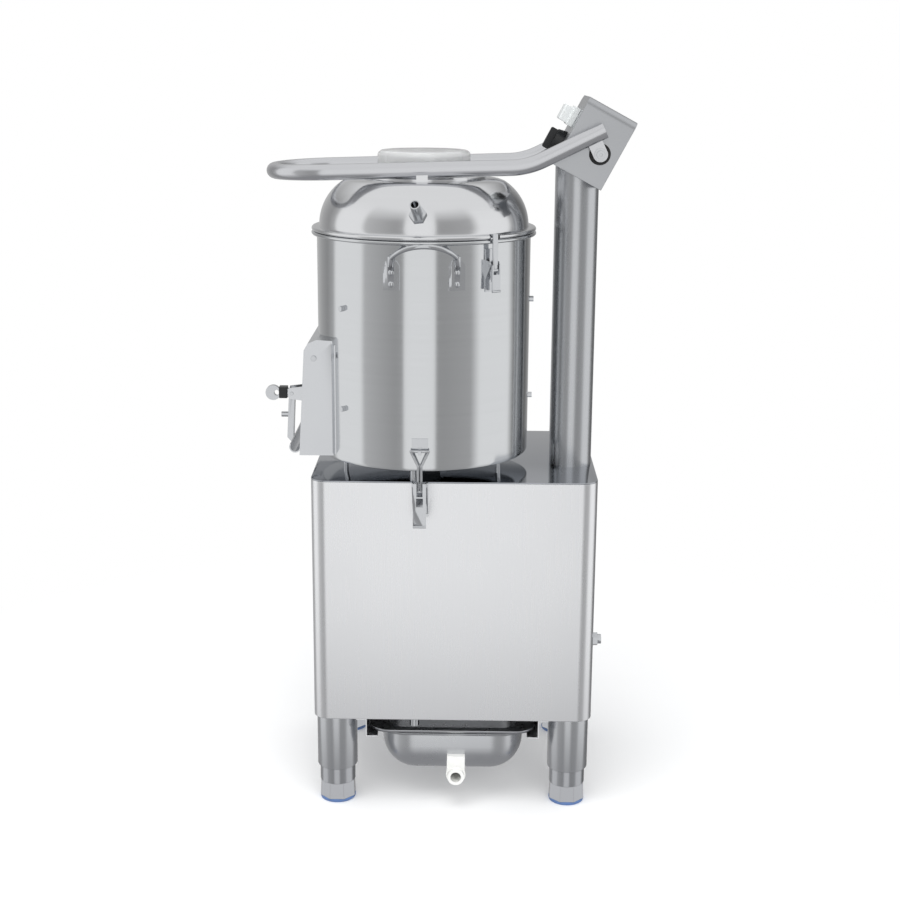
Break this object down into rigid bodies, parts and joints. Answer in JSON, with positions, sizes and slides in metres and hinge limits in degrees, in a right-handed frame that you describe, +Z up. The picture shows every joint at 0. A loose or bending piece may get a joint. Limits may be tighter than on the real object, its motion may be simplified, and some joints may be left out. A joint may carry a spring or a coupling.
{
  "type": "electric potato peeler",
  "caption": "Free-standing electric potato peeler: abrasive drum on a steel cabinet, lever-lifted lid, side discharge door, tilted control head and slide-out drain pan.",
  "frame": {"origin": "floor, under the middle of the machine outline; the spindle stands at x -0.0355, y -0.0154", "axes": "+Z up, +X from the discharge chute towards the column, -Y towards the front with the drain spout"},
  "size_m": [0.6029, 0.4382, 1.1799],
  "materials": {
    "cabinet_steel": "satin",
    "mirror_plate": "polished",
    "drum_steel": "polished",
    "lid_steel": "polished",
    "tube_steel": "satin",
    "foot_steel": "satin",
    "pressed_steel": "satin",
    "bright_hardware": "polished",
    "machined_steel": "machined",
    "cast_metal": "as cast",
    "motor_paint": "satin",
    "abrasive": "gritty",
    "black_rubber": "matte",
    "black_plastic": "satin",
    "clear_boot": "translucent",
    "green_plastic": "gloss",
    "red_plastic": "gloss",
    "clear_plastic": "clear",
    "white_plastic": "gloss"
  },
  "bodies": {
    "stand": {"abrasive_liner": "abrasive", "base_latch_bracket": "bright_hardware", "base_latch_catch": "drum_steel", "base_plate": "cabinet_steel", "bearing_housing": "cast_metal", "bearings": "machined_steel", "button_boot": "clear_boot", "cabinet_shell": "cabinet_steel", "cable_gland": "bright_hardware", "chute_body": "drum_steel", "column_tube": "tube_steel", "control_panel": "cabinet_steel", "door_hinge_pins": "bright_hardware", "drain_pipe": "tube_steel", "drive_belts": "black_rubber", "drum_handles": "drum_steel", "drum_shell": "drum_steel", "drum_standoffs": "bright_hardware", "handle_rivets": "bright_hardware", "head_housing": "cabinet_steel", "leg_tubes": "tube_steel", "lid_latch_base": "drum_steel", "liner_screws": "bright_hardware", "motor_body": "motor_paint", "motor_plate": "cast_metal", "pan_rails": "cabinet_steel", "pivot_bushes": "black_rubber", "safety_switch": "black_plastic", "service_panel": "cabinet_steel", "top_plate": "mirror_plate", "water_seal": "black_rubber"},
    "lid": {"lever_tube": "tube_steel", "pivot_shaft": "bright_hardware", "lid_dome": "lid_steel", "lid_collar": "lid_steel", "inspection_cover": "clear_plastic", "water_nozzle": "bright_hardware"},
    "peeling_disc": {"spindle": "machined_steel", "abrasive_disc": "abrasive", "drive_pulley": "cast_metal"},
    "motor_rotor": {"motor_shaft": "machined_steel", "motor_pulley": "cast_metal"},
    "discharge_door": {"chute_door": "drum_steel", "door_seal": "black_rubber"},
    "clamp": {"door_clamp": "bright_hardware", "clamp_grip": "black_plastic"},
    "lid_toggle": {"lid_latch_lever": "bright_hardware"},
    "lid_claw": {"lid_latch_claw": "bright_hardware"},
    "base_toggle": {"base_latch_lever": "bright_hardware"},
    "base_loop": {"base_latch_loop": "bright_hardware"},
    "timer": {"timer_knob": "black_plastic"},
    "start": {"start_button": "green_plastic"},
    "stop": {"stop_button": "red_plastic"},
    "pan": {"drain_pan": "pressed_steel", "strainer_pan": "pressed_steel", "drain_spout": "white_plastic"},
    "levelling_foot_front_left": {"foot_front_left": "foot_steel"},
    "levelling_foot_front_right": {"foot_front_right": "foot_steel"},
    "levelling_foot_rear_left": {"foot_rear_left": "foot_steel"},
    "levelling_foot_rear_right": {"foot_rear_right": "foot_steel"}
  },
  "joints": [
    {"name": "lid_lift", "type": "hinge", "parent": "stand", "child": "lid", "pos_m": [0.2428, -0.0154, 1.092], "axis": [0, 1, 0], "range_deg": [0, 60]},
    {"name": "disc_spin", "type": "hinge", "parent": "stand", "child": "peeling_disc", "pos_m": [-0.0355, -0.0154, 0.6], "axis": [0, 0, 1], "continuous": true},
    {"name": "motor_spin", "type": "hinge", "parent": "stand", "child": "motor_rotor", "pos_m": [0.1545, 0.0546, 0.44], "axis": [0, 0, 1], "continuous": true},
    {"name": "discharge_door_swing", "type": "hinge", "parent": "stand", "child": "discharge_door", "pos_m": [-0.2095, -0.0154, 0.767], "axis": [0, 1, 0], "range_deg": [0, 85]},
    {"name": "clamp_swing", "type": "hinge", "parent": "discharge_door", "child": "clamp", "pos_m": [-0.2565, -0.0154, 0.69], "axis": [0, 1, 0], "range_deg": [0, 75]},
    {"name": "lid_toggle_swing", "type": "hinge", "parent": "stand", "child": "lid_toggle", "pos_m": [0.07747, -0.16, 0.925], "axis": [-0.788, -0.6157, 0], "range_deg": [0, 125]},
    {"name": "lid_claw_swing", "type": "hinge", "parent": "lid_toggle", "child": "lid_claw", "pos_m": [0.07963, -0.16276, 0.9175], "axis": [-0.788, -0.6157, 0], "range_deg": [-125, 0]},
    {"name": "base_toggle_swing", "type": "hinge", "parent": "stand", "child": "base_toggle", "pos_m": [-0.0355, -0.1954, 0.577], "axis": [-1, 0, 0], "range_deg": [0, 120]},
    {"name": "base_loop_swing", "type": "hinge", "parent": "base_toggle", "child": "base_loop", "pos_m": [-0.0355, -0.1999, 0.5695], "axis": [-1, 0, 0], "range_deg": [-120, 0]},
    {"name": "timer_turn", "type": "hinge", "parent": "stand", "child": "timer", "pos_m": [0.18512, -0.0154, 1.10395], "axis": [-0.8829, 0, 0.4695], "range_deg": [-300, 0]},
    {"name": "start_press", "type": "slide", "parent": "stand", "child": "start", "axis": [0.8829, 0, -0.4695], "range_m": [0, 0.003], "stiffness_N_per_m": 600, "springref_m": -0.0015},
    {"name": "stop_press", "type": "slide", "parent": "stand", "child": "stop", "axis": [0.8829, 0, -0.4695], "range_m": [0, 0.003], "stiffness_N_per_m": 600, "springref_m": -0.0015},
    {"name": "pan_slide", "type": "slide", "parent": "stand", "child": "pan", "axis": [0, -1, 0], "range_m": [0, 0.3]},
    {"name": "foot_adjust_front_left", "type": "slide", "parent": "stand", "child": "levelling_foot_front_left", "axis": [0, 0, -1], "range_m": [0, 0.025]},
    {"name": "foot_adjust_front_right", "type": "slide", "parent": "stand", "child": "levelling_foot_front_right", "axis": [0, 0, -1], "range_m": [0, 0.025]},
    {"name": "foot_adjust_rear_left", "type": "slide", "parent": "stand", "child": "levelling_foot_rear_left", "axis": [0, 0, -1], "range_m": [0, 0.025]},
    {"name": "foot_adjust_rear_right", "type": "slide", "parent": "stand", "child": "levelling_foot_rear_right", "axis": [0, 0, -1], "range_m": [0, 0.025]}
  ],
  "couplings": [
    {"joint": "motor_spin", "follows": "disc_spin", "ratio": 3.314},
    {"joint": "lid_claw_swing", "follows": "lid_toggle_swing", "ratio": -1},
    {"joint": "base_loop_swing", "follows": "base_toggle_swing", "ratio": -1}
  ]
}
